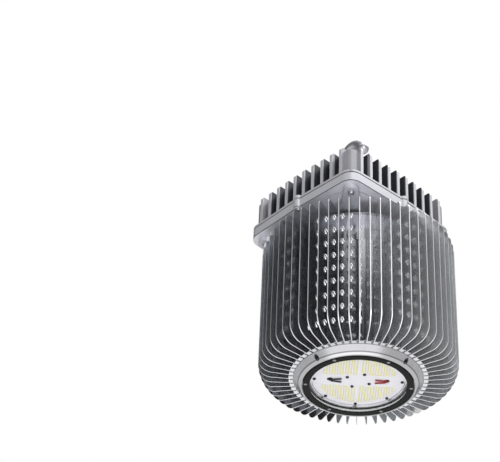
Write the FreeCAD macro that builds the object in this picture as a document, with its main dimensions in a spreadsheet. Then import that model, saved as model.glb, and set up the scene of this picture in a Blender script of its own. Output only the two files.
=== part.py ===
import FreeCAD, Part
import math
import os
import Sketcher

V = FreeCAD.Vector
AXIS_X = V(1, 0, 0)
AXIS_Y = V(0, 1, 0)
AXIS_Z = V(0, 0, 1)

# Driving sizes in millimetres and degrees; a text that starts with = follows other
# sizes. The origin is on the lamp's axis, level with the lowest face, which is the
# underside of the bezel.
SIZES = {
    "bezel_outer_radius": (82.5, "outside of the black ring"),
    "bezel_width": (10, "width of the black ring"),
    "bezel_inner_radius": ("=bezel_outer_radius - bezel_width",
                           "clear opening of the black ring"),
    "bezel_lip": (1.6, "lip under the glass"),
    "bezel_edge": (0.8, "bevel on the edges of the black ring"),
    "glass_inset": (8, "glass inside the edge of the black ring"),
    "glass_radius": ("=bezel_outer_radius - glass_inset", "outside of the glass"),
    "glass_thickness": (4, "thickness of the glass"),
    "gasket_thickness": (1.8, "seal on the glass"),
    "board_inset": (3.6, "board inside the clear opening"),
    "board_radius": ("=bezel_inner_radius - board_inset", "outside of the light board"),
    "board_thickness": (1.8, "thickness of the light board"),
    "board_recess": (6, "depth of the pocket for the board"),
    "row_pitch": (4, "spacing of the emitter rows"),
    "row_width": (2.2, "width of one emitter row"),
    "row_height": (0.6, "thickness of one emitter row"),
    "row_margin": (7.4, "bare edge of the board round the fields"),
    "row_field_radius": ("=board_radius - row_margin", "outer limit of the emitter fields"),
    "row_band": (14, "half width of the bare band across the board"),
    "near_screw_radius": (18.7, "inner board screws from the axis"),
    "row_first": (4.2, "first row from the middle of a field pair"),
    "optic_turn": (48, "turn of the optical parts about the axis"),
    "base_web": (8.6, "plate above the board"),
    "base_groove": (1.6, "groove round the black ring"),
    "base_flat": (2.4, "flat land of the bright ring"),
    "base_drop": (6.6, "land below the face that takes the bezel"),
    "base_bevel": (10.5, "width of the bright ring's bevel"),
    "base_rim_radius": ("=bezel_outer_radius + base_groove + base_flat + base_bevel",
                        "outside of the bright ring"),
    "base_rim_rise": (11.5, "rise of the bright ring's bevel"),
    "base_rim_side": (2.2, "upright edge of the bright ring"),
    "core_set": (5, "core wall outside the bright ring"),
    "core_radius": ("=base_rim_radius + core_set", "outside of the core wall"),
    "core_wall": (3, "thickness of the core wall"),
    "core_height": (223, "height of the core wall"),
    "core_flange_width": (20, "width of the core's bottom flange"),
    "core_flange_radius": ("=core_radius - core_flange_width",
                           "inside of the core's bottom flange"),
    "core_flange": (6, "thickness of the core's bottom flange"),
    "cap_thickness": (5, "lid of the core"),
    "cap_hub_radius": (52, "hub on the lid"),
    "cap_hub": (3, "height of the hub"),
    "fin_ring_radius": (150, "outside of the ring of fins"),
    "fin_count": (60, "number of fins"),
    "fin_sheet": (1.3, "sheet thickness of a fin"),
    "fin_above_core": (2, "fins stand above the core wall"),
    "fin_rise": (4, "height of the swept corner above the fin's foot"),
    "fin_sweep": (22, "radius of the swept corner"),
    "fin_top_round": (9, "radius of the top outer corner"),
    "fin_tab": (6.5, "radial width of the folded foot"),
    "fin_foot_slot": (3.2, "clear slot between two feet"),
    "fin_fold_drop": (50, "fold along the core ends below the fin's top"),
    "fin_slot": (0.9, "slot left between one fold and the next fin"),
    "lead_offset": (42, "distance of the lead holes from the axis"),
    "conduit_radius": (6, "outside of a lead conduit"),
    "conduit_wall": (1, "wall of a lead conduit"),
    "conduit_seat": (2, "depth of a conduit's seat in the base plate"),
    "conduit_stand": (1, "conduit above the floor of the driver box"),
    "lead_rise": (8, "leads above the floor of the driver box"),
    "lead_radius": (1.2, "radius of one lead"),
    "lead_bend": (4, "bend radius of a lead"),
    "lead_run": (13, "length of lead that lies on the board"),
    "lead_spread": (2.2, "half distance between two leads"),
    "bracket_thickness": (8, "four-armed bracket"),
    "bracket_hub_radius": (68, "middle of the bracket"),
    "bracket_boss_radius": (11, "round end of an arm"),
    "bracket_arm_root": (21, "half width of an arm at the hub"),
    "box_offset": (18, "driver box off the lamp's axis, toward its front side"),
    "box_half": (113, "half side of the driver box at its corners"),
    "box_bow": (4, "outward bow of each side at its middle"),
    "corner_inset": (18.7, "corner screws inside the side lines of the box"),
    "box_corner": (20, "corner radius of the driver box"),
    "box_base_height": (16, "height of the lower half"),
    "box_base_wall": (8, "wall of the lower half"),
    "box_floor": (4, "floor of the lower half"),
    "box_gasket": (2, "seal between the halves"),
    "box_body_height": (56, "height of the upper half"),
    "box_flange": (3.4, "flange of the upper half"),
    "box_roof": (6, "roof of the upper half"),
    "box_wall": (4, "wall behind the ribs"),
    "box_inner_corner": (22, "corner radius inside the upper half"),
    "rib_depth": (14.4, "ribs stand out from the wall at the corners"),
    "rib_width": (5, "thickness of a rib"),
    "rib_count": (10, "ribs on each side"),
    "rib_end": (23, "last rib from the side line round the corner"),
    "rib_inset": (2.6, "ribs stand inside the flange"),
    "rib_round": (5, "round on the top of the ribs"),
    "post_radius": (12, "round post in each corner of the upper half"),
    "post_drop": (7, "post below the tops of the ribs"),
    "lug_radius": (6.5, "screw lug in the middle of each side"),
    "lug_offset": (-2.5, "lug centre past the bowed side"),
    "lug_height": (5, "lug of the upper half"),
    "lug_drop": (0.5, "lug below the lower half"),
    "driver_length": (136, "length of a driver"),
    "driver_width": (36, "width of a driver"),
    "driver_height": (34, "height of a driver"),
    "driver_gap": (5, "driver to the wall of the box"),
    "hook_offset": (9, "hook off the lamp's axis, near its centre of mass"),
    "hook_boss_radius": (20, "boss on the roof"),
    "hook_boss": (15, "height of the boss"),
    "hook_shank_radius": (8, "threaded shank"),
    "hook_bar_radius": (9, "bar of the hook"),
    "hook_bend_radius": (21, "centre line of the hook's eye"),
    "hook_neck": (58, "nut to the lowest point of the eye's centre line"),
    "hook_neck_radius": (12, "foot of the neck"),
    "hook_sweep": (260, "arc of the eye"),
    "gate_wire_radius": (1.4, "wire of the gate"),
    "gate_half_width": (5, "half distance between the gate's legs"),
    "gate_length": (20, "pivot to the top of the gate"),
    "gate_rest": (0.35, "gap between the closed gate and the hook's tip"),
    "gate_pivot_x": (14.5, "pivot to the side of the axis"),
    "gate_pivot_drop": (1, "pivot below the lowest point of the centre line"),
    "nut_height": (10, "height of a hook nut"),
    "nut_radius": (14, "corner radius of a hook nut"),
    "washer_thickness": (2.5, "washer under the hook nut"),
    "washer_radius": (18, "outside of the washer"),
    "gland_offset": (55, "gland position along both axes of the roof"),
    "gland_thread_radius": (8, "thread of the gland"),
    "gland_bore_radius": (4.6, "hole through the gland"),
    "seat_gap": (0.1, "gap between parts that seat on each other"),
    "hole_gap": (0.15, "gap round screws and tubes in their holes"),
}

doc = FreeCAD.newDocument("HighBayLight")
sheet = doc.addObject("Spreadsheet::Sheet", "Sizes")
for row, (alias, (size, note)) in enumerate(SIZES.items(), start=1):
    sheet.set(f"A{row}", note)
    sheet.set(f"B{row}", str(size))
    sheet.setAlias(f"B{row}", alias)
doc.recompute()


# A size that carries its number and the spreadsheet expression it comes from
class Dim:
    def __init__(self, value, text):
        self.value = float(value)
        self.text = text

    def __add__(self, other):
        other = dim(other)
        return Dim(self.value + other.value, f"({self.text} + {other.text})")

    def __sub__(self, other):
        other = dim(other)
        return Dim(self.value - other.value, f"({self.text} - {other.text})")

    def __mul__(self, other):
        other = dim(other)
        return Dim(self.value * other.value, f"({self.text} * {other.text})")

    def __truediv__(self, other):
        other = dim(other)
        return Dim(self.value / other.value, f"({self.text} / {other.text})")

    def __neg__(self):
        return Dim(-self.value, f"(0 - {self.text})")


def dim(item):
    if isinstance(item, Dim):
        return item
    return Dim(item, f"{float(item):g}")


def size(alias):
    return Dim(sheet.get(alias), f"Sizes.{alias}")


def cos_of(angle):
    return Dim(math.cos(math.radians(angle.value)), f"cos({angle.text})")


def sin_of(angle):
    return Dim(math.sin(math.radians(angle.value)), f"sin({angle.text})")


def bind(item, prop, value):
    item.setExpression(prop, dim(value).text)


# Heights of the stack, from the bezel's underside up
glass_z = size("bezel_lip")
gasket_z = glass_z + size("glass_thickness")
base_face_z = gasket_z + size("gasket_thickness")
board_back_z = base_face_z + size("board_recess")
board_z = board_back_z - size("board_thickness")
base_top_z = board_back_z + size("base_web")
land_z = base_face_z - size("base_drop")
shoulder_z = land_z + size("base_rim_rise") + size("base_rim_side")
fin_foot_z = shoulder_z - size("fin_sheet") - size("seat_gap")
core_top_z = base_top_z + size("core_height")
fin_top_z = core_top_z + size("fin_above_core")
cap_top_z = core_top_z + size("cap_thickness")
bracket_z = cap_top_z + size("cap_hub")
box_z = bracket_z + size("bracket_thickness")
floor_z = box_z + size("box_floor")
box_gasket_z = box_z + size("box_base_height")
body_z = box_gasket_z + size("box_gasket")
roof_z = body_z + size("box_body_height")
boss_z = roof_z + size("hook_boss")
nut_z = boss_z + size("washer_thickness")
neck_z = nut_z + size("nut_height")
eye_low_z = neck_z + size("hook_neck")
eye_z = eye_low_z + size("hook_bend_radius")

gap = size("seat_gap")
hole_gap = size("hole_gap")
groove_radius = size("bezel_outer_radius") + size("base_groove")
land_radius = groove_radius + size("base_flat")
pocket_radius = size("board_radius") + 0.6
bezel_screw_circle = (size("glass_radius") + size("bezel_outer_radius")) / 2
base_screw_circle = (land_radius + size("base_rim_radius")) / 2
box_offset = size("box_offset")
hook_y = -size("hook_offset")
corner_spot = size("box_half") - size("corner_inset")
corner_reach = corner_spot * math.sqrt(2)
wall_half = size("box_half") - size("rib_inset") - size("rib_depth")
box_inside = wall_half - size("box_wall")
side_spot = size("box_half") + size("box_bow") + size("lug_offset")
conduit_hole = size("conduit_radius") + hole_gap


# Screws: head radius, head height, shank radius, shank length
BEZEL_SCREW = (2.8, 2.0, 1.5, 12.0)
BOARD_SCREW = (2.5, 1.6, 1.2, 6.0)
BASE_SCREW = (3.5, 3.0, 2.0, 18.0)
CORNER_SCREW = (5.0, 4.0, 3.0, 22.0)
SIDE_SCREW = (4.2, 3.0, 2.5, 21.0)
BRACKET_SCREW = (4.5, 4.0, 2.5, 10.0)
HEAD_RECESS = 0.4

# The balls at the ends of the hook's eye stand proud of its bar
TIP_SWELL = 0.4


def new_body(label):
    body = doc.addObject("PartDesign::Body", label)
    body.Label = label
    return body


def new_sketch(body, name, plane, lift=None):
    sketch = body.newObject("Sketcher::SketchObject", name)
    support = [f for f in body.Origin.OriginFeatures if f.Role == plane][0]
    sketch.AttachmentSupport = [(support, "")]
    sketch.MapMode = "FlatFace"
    if lift is not None:
        bind(sketch, "AttachmentOffset.Base.z", lift)
    return sketch


# Fixes a sketch point at a pair of sizes measured from the sketch's origin
def fix_point(sketch, geo, pos, across, up):
    for kind, value, axis in (("DistanceX", across, -2), ("DistanceY", up, -1)):
        if value.text == "0":
            sketch.addConstraint(Sketcher.Constraint("PointOnObject", geo, pos, axis))
            continue
        index = sketch.addConstraint(
            Sketcher.Constraint(kind, -1, 1, geo, pos, value.value))
        bind(sketch, f"Constraints[{index}]", value)


# Tangent points, centre and radius of the round at one corner of an outline
def round_at(before, corner, after, radius):
    back = (before - corner).normalize()
    ahead = (after - corner).normalize()
    half = back.getAngle(ahead) / 2
    start = corner + back * (radius / math.tan(half))
    end = corner + ahead * (radius / math.tan(half))
    centre = corner + (back + ahead).normalize() * (radius / math.sin(half))
    return start, end, centre


# Closed outline of straight edges in a sketch. A corner is two sizes, or three where
# it is rounded.
def outline(sketch, corners):
    corners = [tuple(dim(value) for value in corner) for corner in corners]
    points = [V(corner[0].value, corner[1].value, 0) for corner in corners]
    count = len(corners)
    rounds = {}
    for i, corner in enumerate(corners):
        if len(corner) == 3:
            rounds[i] = round_at(points[i - 1], points[i], points[(i + 1) % count],
                                 corner[2].value)
    lines = []
    for i in range(count):
        after = (i + 1) % count
        start = rounds[i][1] if i in rounds else points[i]
        end = rounds[after][0] if after in rounds else points[after]
        lines.append(sketch.addGeometry(Part.LineSegment(start, end), False))
    for i, corner in enumerate(corners):
        if i not in rounds:
            sketch.addConstraint(
                Sketcher.Constraint("Coincident", lines[i - 1], 2, lines[i], 1))
            fix_point(sketch, lines[i], 1, corner[0], corner[1])
            continue
        start, end, centre = rounds[i]
        turn = (start - centre).cross(end - centre).z
        first, last = (start, end) if turn > 0 else (end, start)
        circle = Part.Circle(centre, AXIS_Z, corner[2].value)
        arc = sketch.addGeometry(
            Part.ArcOfCircle(circle, circle.parameter(first), circle.parameter(last)),
            False)
        near, far = (1, 2) if turn > 0 else (2, 1)
        sketch.addConstraint(
            Sketcher.Constraint("Tangent", lines[i - 1], 2, arc, near))
        sketch.addConstraint(Sketcher.Constraint("Tangent", arc, far, lines[i], 1))
        index = sketch.addConstraint(
            Sketcher.Constraint("Radius", arc, corner[2].value))
        bind(sketch, f"Constraints[{index}]", corner[2])
        mark = sketch.addGeometry(Part.Point(points[i]), True)
        fix_point(sketch, mark, 1, corner[0], corner[1])
        sketch.addConstraint(
            Sketcher.Constraint("PointOnObject", mark, 1, lines[i - 1]))
        sketch.addConstraint(Sketcher.Constraint("PointOnObject", mark, 1, lines[i]))


def circles(sketch, spots):
    for across, up, radius in spots:
        across, up, radius = dim(across), dim(up), dim(radius)
        centre = V(across.value, up.value, 0)
        geo = sketch.addGeometry(Part.Circle(centre, AXIS_Z, radius.value), False)
        index = sketch.addConstraint(Sketcher.Constraint("Radius", geo, radius.value))
        bind(sketch, f"Constraints[{index}]", radius)
        fix_point(sketch, geo, 3, across, up)


def pad(body, name, sketch, length, down=False):
    feature = body.newObject("PartDesign::Pad", name)
    feature.Profile = sketch
    feature.Reversed = down
    bind(feature, "Length", length)
    return feature


# Cuts upward from its sketch unless told otherwise
def pocket(body, name, sketch, depth=None, down=False):
    feature = body.newObject("PartDesign::Pocket", name)
    feature.Profile = sketch
    feature.Reversed = not down
    if depth is None:
        feature.Type = "ThroughAll"
    else:
        bind(feature, "Length", depth)
    return feature


def polar(body, name, features, sketch, count):
    pattern = body.newObject("PartDesign::PolarPattern", name)
    pattern.Originals = features
    pattern.Axis = (sketch, ["N_Axis"])
    pattern.Angle = 360
    bind(pattern, "Occurrences", count)
    body.Tip = pattern
    return pattern


# Body turned about the lamp's axis from an outline of radius and height
def turned(label, corners):
    body = new_body(label)
    sketch = new_sketch(body, label + "_profile", "XZ_Plane")
    outline(sketch, corners)
    feature = body.newObject("PartDesign::Revolution", label + "_turn")
    feature.Profile = sketch
    feature.ReferenceAxis = (sketch, ["V_Axis"])
    feature.Angle = 360
    return body


def turned_ring(label, inner, outer, low, high):
    return turned(label, [(inner, low), (outer, low), (outer, high), (inner, high)])


# Round holes on a circle, cut upward from a height
def hole_ring(body, name, circle, radius, count, low, depth=None):
    sketch = new_sketch(body, name + "_sketch", "XY_Plane", low)
    circles(sketch, [(circle, 0, radius)])
    cut = pocket(body, name + "_cut", sketch, depth)
    return polar(body, name, [cut], sketch, count)


# The driver box and what belongs to it stand off the lamp's axis
def move_to_box(item):
    bind(item, "Placement.Base.y", -box_offset)


def box_spots(spots):
    move = FreeCAD.Placement(V(0, -box_offset.value, 0), FreeCAD.Rotation())
    return [move.multiply(spot) for spot in spots]


def turn_about_axis(item, angle):
    item.Placement = FreeCAD.Placement(V(), FreeCAD.Rotation(AXIS_Z, angle.value))
    bind(item, "Placement.Rotation.Angle", angle)


# Group of separate solids: one shape repeated at each placement
def group(label, shape, spots):
    item = doc.addObject("Part::Feature", label)
    item.Label = label
    solids = []
    for spot in spots:
        copy = shape.copy()
        copy.Placement = spot.multiply(copy.Placement)
        solids.extend(copy.Solids)
    item.Shape = Part.makeCompound(solids)
    return item


def spots_on_circle(radius, count, start, height):
    spots = []
    for i in range(count):
        turn = FreeCAD.Rotation(AXIS_Z, start + 360 * i / count)
        centre = V(radius, 0, 0)
        spots.append(FreeCAD.Placement(turn.multVec(centre) + V(0, 0, height), turn))
    return spots


# Screw with its head down and its shank up, standing on the head's lower face
def screw_shape(screw):
    head_radius, head_height, shank_radius, shank_length = screw
    bevel = head_radius * 0.16
    profile = Part.makePolygon([
        V(0, 0, 0), V(head_radius - bevel, 0, 0), V(head_radius, 0, bevel),
        V(head_radius, 0, head_height), V(shank_radius, 0, head_height),
        V(shank_radius, 0, head_height + shank_length),
        V(0, 0, head_height + shank_length), V(0, 0, 0)])
    return Part.Face(profile).revolve(V(), AXIS_Z, 360)


def screw_group(label, screw, spots):
    return group(label, screw_shape(screw), spots)


def make_bezel():
    inner = size("bezel_inner_radius")
    outer = size("bezel_outer_radius")
    edge = size("bezel_edge")
    pocket_wall = size("glass_radius") + hole_gap * 2
    body = turned("lens_bezel", [
        (inner + edge, 0), (outer - edge, 0), (outer, edge), (outer, base_face_z),
        (pocket_wall, base_face_z), (pocket_wall, glass_z), (inner, glass_z),
        (inner, edge)])
    recess = dim(BEZEL_SCREW[1] + HEAD_RECESS)
    hole_ring(body, "bezel_hole", bezel_screw_circle, hole_gap + BEZEL_SCREW[2], 6, 0)
    hole_ring(body, "bezel_recess", bezel_screw_circle, hole_gap + BEZEL_SCREW[0], 6, 0,
              recess)
    turn_about_axis(body, size("optic_turn"))
    spots = spots_on_circle(bezel_screw_circle.value, 6, size("optic_turn").value,
                            HEAD_RECESS)
    screw_group("bezel_screws", BEZEL_SCREW, spots)


def make_glass():
    radius = size("glass_radius")
    edge = size("bezel_edge") * 0.6
    turned("lens_glass", [
        (0, glass_z), (radius - edge, glass_z), (radius, glass_z + edge),
        (radius, gasket_z - edge), (radius - edge, gasket_z), (0, gasket_z)])
    turned_ring("lens_gasket", size("bezel_inner_radius") + 0.6, radius, gasket_z,
                base_face_z)


def board_screw_spots(height):
    start = size("optic_turn").value
    outer = spots_on_circle(size("row_field_radius").value + 4, 8, start, height)
    inner = spots_on_circle(size("near_screw_radius").value, 4, start + 26, height)
    return outer + inner


def make_board():
    body = new_body("led_board")
    disc = new_sketch(body, "board_outline", "XY_Plane", board_z)
    circles(disc, [(0, 0, size("board_radius"))])
    pad(body, "board_disc", disc, size("board_thickness"))
    lead_hole = size("conduit_radius") - size("conduit_wall")
    hole_ring(body, "board_lead_hole", size("lead_offset"), lead_hole, 2, board_z)
    shank = hole_gap + BOARD_SCREW[2]
    hole_ring(body, "board_rim_hole", size("row_field_radius") + 4, shank, 8, board_z)
    near = new_sketch(body, "board_near_sketch", "XY_Plane", board_z)
    reach = size("near_screw_radius")
    turn = math.radians(26)
    circles(near, [(reach * math.cos(turn), reach * math.sin(turn), shank)])
    cut = pocket(body, "board_near_cut", near)
    polar(body, "board_near_hole", [cut], near, 4)
    turn_about_axis(body, size("optic_turn"))
    spots = board_screw_spots(board_z.value - BOARD_SCREW[1])
    screw_group("board_screws", BOARD_SCREW, spots)


# One bar per column of emitters, cut off by the round edge of the field
def make_rows():
    pitch = size("row_pitch").value
    width = size("row_width").value
    limit = size("row_field_radius").value
    band = size("row_band").value
    height = size("row_height").value
    clear = BOARD_SCREW[0] + 1.2
    turn = FreeCAD.Placement(V(), FreeCAD.Rotation(AXIS_Z, size("optic_turn").value))
    screws = [turn.inverse().multVec(spot.Base) for spot in board_screw_spots(0)]
    across = size("row_first").value
    bars = []
    while across + width < limit * 0.93:
        for side in (-1, 1):
            for end in (-1, 1):
                low = band
                middle = side * across
                for spot in screws:
                    if abs(spot.x - middle) < clear + width / 2 and spot.y * end > 0:
                        if abs(spot.y) < limit / 2:
                            low = max(low, abs(spot.y) + clear)
                high = math.sqrt(limit ** 2 - (across + width) ** 2)
                if high - low < width * 2:
                    continue
                corner = V(middle - width / 2, low if end > 0 else -high,
                           board_z.value - height)
                bars.append(Part.makeBox(width, high - low, height, corner))
        across += pitch
    group("led_rows", Part.makeCompound(bars), [turn])


def make_base_plate():
    rim = size("base_rim_radius")
    shoulder = size("core_radius") - 0.4
    body = turned("base_plate", [
        (0, board_back_z), (pocket_radius, board_back_z), (pocket_radius, base_face_z),
        (groove_radius, base_face_z), (groove_radius, land_z), (land_radius, land_z),
        (rim, land_z + size("base_rim_rise")), (rim, shoulder_z), (shoulder, shoulder_z),
        (shoulder, base_top_z), (0, base_top_z)])
    lead_hole = size("conduit_radius") - size("conduit_wall")
    hole_ring(body, "base_lead_hole", size("lead_offset"), lead_hole, 2, 0)
    hole_ring(body, "base_conduit_seat", size("lead_offset"), conduit_hole, 2,
              base_top_z - size("conduit_seat"))
    hole_ring(body, "base_bezel_thread", bezel_screw_circle, hole_gap + BEZEL_SCREW[2],
              6, base_face_z, BEZEL_SCREW[3])
    hole_ring(body, "base_rim_thread", size("row_field_radius") + 4,
              hole_gap + BOARD_SCREW[2], 8, board_back_z, BOARD_SCREW[3])
    near = new_sketch(body, "base_near_sketch", "XY_Plane", board_back_z)
    reach = size("near_screw_radius")
    turn = math.radians(26)
    circles(near, [(reach * math.cos(turn), reach * math.sin(turn),
                    hole_gap + BOARD_SCREW[2])])
    cut = pocket(body, "base_near_cut", near, BOARD_SCREW[3])
    polar(body, "base_near_thread", [cut], near, 4)
    head_edge = base_screw_circle + BASE_SCREW[0] + hole_gap - land_radius
    turned_seat = land_z + size("base_rim_rise") * head_edge / (rim - land_radius)
    turned_seat = turned_seat + HEAD_RECESS
    spot = new_sketch(body, "base_screw_sketch", "XY_Plane", 0)
    diagonal = base_screw_circle * math.sqrt(0.5)
    circles(spot, [(diagonal, diagonal, hole_gap + BASE_SCREW[2])])
    through = pocket(body, "base_screw_cut", spot)
    polar(body, "base_screw_hole", [through], spot, 4)
    seat = new_sketch(body, "base_seat_sketch", "XY_Plane", 0)
    circles(seat, [(diagonal, diagonal, hole_gap + BASE_SCREW[0])])
    sunk = pocket(body, "base_seat_cut", seat, turned_seat)
    polar(body, "base_screw_seat", [sunk], seat, 4)
    turn_about_axis(body, size("optic_turn"))
    spots = spots_on_circle(base_screw_circle.value, 4, size("optic_turn").value + 45,
                            turned_seat.value - BASE_SCREW[1])
    screw_group("base_screws", BASE_SCREW, spots)


def make_core():
    outer = size("core_radius")
    inner = outer - size("core_wall")
    flange = size("core_flange_radius")
    flange_top = base_top_z + size("core_flange")
    body = turned("core_tube", [
        (flange, base_top_z), (outer, base_top_z), (outer, core_top_z),
        (inner, core_top_z), (inner, flange_top), (flange, flange_top)])
    spot = new_sketch(body, "core_screw_sketch", "XY_Plane", base_top_z)
    diagonal = base_screw_circle * math.sqrt(0.5)
    circles(spot, [(diagonal, diagonal, hole_gap + BASE_SCREW[2])])
    cut = pocket(body, "core_screw_cut", spot, size("core_flange") * 2)
    polar(body, "core_screw_hole", [cut], spot, 4)
    turn_about_axis(body, size("optic_turn"))

    spigot = inner - gap * 2
    hub = size("cap_hub_radius")
    bevel = size("cap_hub") * 0.75
    cap = turned("core_cap", [
        (0, core_top_z - 4), (spigot, core_top_z - 4), (spigot, core_top_z),
        (outer, core_top_z), (outer, cap_top_z), (hub + bevel, cap_top_z),
        (hub, cap_top_z + bevel), (hub, bracket_z), (0, bracket_z)])
    threads = new_sketch(cap, "cap_thread_sketch", "XY_Plane",
                         bracket_z - BRACKET_SCREW[3])
    reach = hub * 0.55
    radius = hole_gap + BRACKET_SCREW[2]
    circles(threads, [
        (reach, -box_offset, radius), (-reach, -box_offset, radius),
        (0, reach - box_offset, radius), (0, -reach - box_offset, radius)])
    pocket(cap, "cap_thread", threads)
    lead = new_sketch(cap, "cap_lead_sketch", "XY_Plane", 0)
    circles(lead, lead_holes(dim(0)))
    pocket(cap, "cap_lead_hole", lead)


# The two conduit holes, seen from a piece that stands off the axis
def lead_holes(offset):
    across = size("lead_offset") * cos_of(size("optic_turn"))
    up = size("lead_offset") * sin_of(size("optic_turn"))
    return [(across, up + offset, conduit_hole), (-across, offset - up, conduit_hole)]


def make_conduits():
    radius = size("conduit_radius").value
    low = base_top_z.value - size("conduit_seat").value + gap.value
    length = floor_z.value + size("conduit_stand").value - low
    tube = Part.makeCylinder(radius, length)
    bore = Part.makeCylinder(radius - size("conduit_wall").value, length)
    spots = spots_on_circle(size("lead_offset").value, 2, size("optic_turn").value, low)
    group("lead_conduits", tube.cut(bore), spots)


# Pair of leads: down through the conduit, round a bend and along the board
def make_leads(label, turn):
    radius = size("lead_radius").value
    bend = size("lead_bend").value
    top = floor_z.value + size("lead_rise").value
    level = board_z.value - radius - 0.4
    run = size("lead_run").value
    start = size("lead_offset").value
    pair = []
    for side in (-1, 1):
        across = side * size("lead_spread").value
        upper = V(start, across, top)
        knee = V(start, across, level + bend)
        middle = V(start - bend * (1 - math.sqrt(0.5)), across,
                   level + bend * (1 - math.sqrt(0.5)))
        flat = V(start - bend, across, level)
        end = V(start - bend - run, across * 1.9, level)
        path = Part.Wire([
            Part.makeLine(upper, knee), Part.Arc(knee, middle, flat).toShape(),
            Part.makeLine(flat, end)])
        section = Part.Wire([Part.makeCircle(radius, upper, AXIS_Z)])
        pipe = path.makePipeShell([section], True, False, 2)
        pair.append(pipe)
    spot = FreeCAD.Placement(V(), FreeCAD.Rotation(AXIS_Z, turn))
    group(label, Part.makeCompound(pair), [spot])


# One stamped fin in the XZ plane: the blade, the fold along the core and the fold
# under the base plate's shoulder
def make_fins():
    inner = size("core_radius") + gap
    outer = size("fin_ring_radius")
    sheet_half = size("fin_sheet") / 2
    pitch = math.tan(math.radians(360 / size("fin_count").value))
    fold = inner * pitch - size("fin_sheet") / 2 - size("fin_slot")
    body = new_body("fin")
    blade = new_sketch(body, "fin_blade", "XZ_Plane")
    outline(blade, [
        (inner, fin_foot_z), (inner + 1, fin_foot_z),
        (outer, fin_foot_z + size("fin_rise"), size("fin_sweep")),
        (outer, fin_top_z, size("fin_top_round")), (inner, fin_top_z)])
    sheet_pad = pad(body, "fin_sheet_pad", blade, size("fin_sheet"))
    sheet_pad.SideType = "Symmetric"
    wall = new_sketch(body, "fin_wall", "XY_Plane", shoulder_z + gap)
    outline(wall, [
        (inner, -sheet_half), (inner + size("fin_sheet"), -sheet_half),
        (inner + size("fin_sheet"), fold), (inner, fold)])
    pad(body, "fin_wall_fold", wall,
        fin_top_z - size("fin_fold_drop") - shoulder_z - gap * 2)
    foot = new_sketch(body, "fin_foot", "XY_Plane", fin_foot_z)
    tab = size("base_rim_radius") + gap * 4
    width = tab * pitch - size("fin_sheet") / 2 - size("fin_foot_slot")
    outline(foot, [
        (tab, -sheet_half), (tab + size("fin_tab"), -sheet_half),
        (tab + size("fin_tab"), width), (tab, width)])
    pad(body, "fin_foot_fold", foot, size("fin_sheet"))
    doc.recompute()
    count = int(size("fin_count").value)
    spots = []
    for i in range(count):
        turn = FreeCAD.Rotation(AXIS_Z, 360 * (i + 0.5) / count)
        spots.append(FreeCAD.Placement(V(), turn))
    group("cooling_fins", body.Shape, spots)
    return body


def make_bracket():
    body = new_body("mounting_bracket")
    hub = new_sketch(body, "bracket_hub", "XY_Plane", bracket_z)
    circles(hub, [(0, 0, size("bracket_hub_radius"))])
    pad(body, "bracket_hub_pad", hub, size("bracket_thickness"))
    arm = new_sketch(body, "bracket_arm", "XY_Plane", bracket_z)
    boss = size("bracket_boss_radius")
    reach = corner_reach
    root = size("bracket_arm_root")
    outline(arm, [
        (10, -root), (reach, -boss), (reach, boss), (10, root)])
    arm_pad = pad(body, "bracket_arm_pad", arm, size("bracket_thickness"))
    tip = new_sketch(body, "bracket_tip", "XY_Plane", bracket_z)
    circles(tip, [(reach, 0, boss)])
    tip_pad = pad(body, "bracket_tip_pad", tip, size("bracket_thickness"))
    polar(body, "bracket_arms", [arm_pad, tip_pad], arm, 4)
    hole_ring(body, "bracket_corner_hole", reach, hole_gap + CORNER_SCREW[2], 4,
              bracket_z)
    near = new_sketch(body, "bracket_near_sketch", "XY_Plane", bracket_z)
    diagonal = size("cap_hub_radius") * 0.55 * math.sqrt(0.5)
    circles(near, [(diagonal, diagonal, hole_gap + BRACKET_SCREW[2])])
    cut = pocket(body, "bracket_near_cut", near)
    polar(body, "bracket_near_hole", [cut], near, 4)
    sunk = new_sketch(body, "bracket_sunk_sketch", "XY_Plane",
                      box_z - BRACKET_SCREW[1] - HEAD_RECESS)
    circles(sunk, [(diagonal, diagonal, hole_gap + BRACKET_SCREW[0])])
    deep = pocket(body, "bracket_sunk_cut", sunk)
    polar(body, "bracket_sunk_hole", [deep], sunk, 4)
    lead = new_sketch(body, "bracket_lead_sketch", "XY_Plane", bracket_z)
    turn = size("optic_turn") - 45
    across = size("lead_offset") * cos_of(turn)
    up = size("lead_offset") * sin_of(turn)
    shift = box_offset * math.sqrt(0.5)
    circles(lead, [(across + shift, up + shift, conduit_hole),
                   (shift - across, shift - up, conduit_hole)])
    pocket(body, "bracket_lead_hole", lead)
    turn_about_axis(body, dim(45))
    move_to_box(body)

    corner = spots_on_circle(reach.value, 4, 45, bracket_z.value - CORNER_SCREW[1])
    screw_group("corner_screws", CORNER_SCREW, box_spots(corner))
    flip = FreeCAD.Placement(V(), FreeCAD.Rotation(AXIS_X, 180))
    top = box_z.value - HEAD_RECESS
    near_spots = spots_on_circle(size("cap_hub_radius").value * 0.55, 4, 0, top)
    screw_group("bracket_screws", BRACKET_SCREW,
                box_spots([spot.multiply(flip) for spot in near_spots]))


# Plan of the driver box: eight corners, the four main ones rounded
def box_plan(inset):
    half = size("box_half") - inset
    mid = half + size("box_bow")
    round_radius = size("box_corner") - inset
    return [
        (half, -half, round_radius), (mid, 0), (half, half, round_radius), (0, mid),
        (-half, half, round_radius), (-mid, 0), (-half, -half, round_radius),
        (0, -mid)]


def square_plan(half, round_radius):
    return [(half, -half, round_radius), (half, half, round_radius),
            (-half, half, round_radius), (-half, -half, round_radius)]


def corner_circles(radius):
    return [(corner_spot * x, corner_spot * y, radius)
            for x in (-1, 1) for y in (-1, 1)]


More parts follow.
